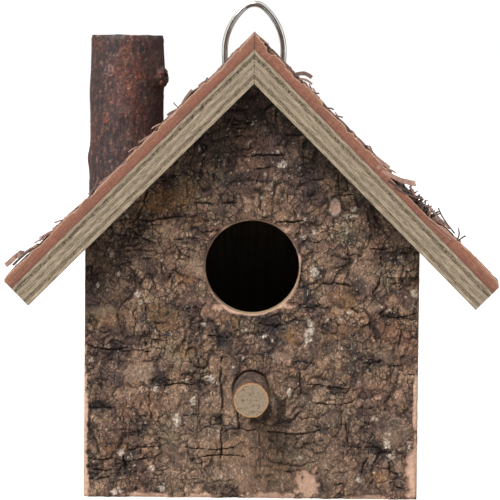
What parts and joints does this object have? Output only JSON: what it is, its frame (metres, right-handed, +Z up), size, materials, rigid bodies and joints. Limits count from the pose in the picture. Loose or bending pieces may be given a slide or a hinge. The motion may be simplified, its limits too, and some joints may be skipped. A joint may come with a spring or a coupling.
{
  "type": "hanging nest box",
  "caption": "Gabled nest box of plywood faced with bark: round entry, branch perch, log chimney, mitred roof, wire hanging ring and a swinging clean-out door.",
  "frame": {"origin": "middle of the floor board's underside, on the plane that the house stands on", "axes": "+X to the right seen from the front, +Y from the entry towards the rear wall, +Z up"},
  "size_m": [0.1824, 0.1495, 0.1874],
  "materials": {
    "plywood": "sawn, unvarnished",
    "wall_bark": "rough furrowed bark",
    "roof_bark": "reddish bark, peeling at the edges",
    "log_bark": "smooth bark with a knot",
    "branch": "bark with a sawn end",
    "steel_wire": "drawn and polished",
    "steel_strip": "rolled",
    "plated_steel": "zinc plated"
  },
  "bodies": {
    "house": {"front_wall": "plywood", "rear_wall": "plywood", "left_wall": "plywood", "right_wall": "plywood", "floor_board": "plywood", "front_bark": "wall_bark", "left_bark": "wall_bark", "right_bark": "wall_bark", "left_roof_board": "plywood", "right_roof_board": "plywood", "left_roof_bark": "roof_bark", "right_roof_bark": "roof_bark", "chimney_log": "log_bark", "chimney_screws": "plated_steel", "perch": "branch", "perch_screw": "plated_steel", "hanger_strap": "steel_strip", "hanger_screws": "plated_steel", "door_screw": "plated_steel", "door_washers": "plated_steel", "front_brads": "plated_steel", "rear_brads": "plated_steel", "floor_brads": "plated_steel", "left_roof_brads": "plated_steel", "right_roof_brads": "plated_steel", "ridge_brads": "plated_steel"},
    "hanger_ring": {"hanger_ring": "steel_wire"},
    "clean_out_door": {"clean_out_door": "plywood"}
  },
  "joints": [
    {"name": "ring_swing", "type": "hinge", "parent": "house", "child": "hanger_ring", "pos_m": [0, 0.0531, 0.145], "axis": [-1, 0, 0], "range_deg": [0, 180]},
    {"name": "door_swing", "type": "hinge", "parent": "house", "child": "clean_out_door", "pos_m": [0, 0.05335, 0.051], "axis": [0, 1, 0], "continuous": true}
  ]
}
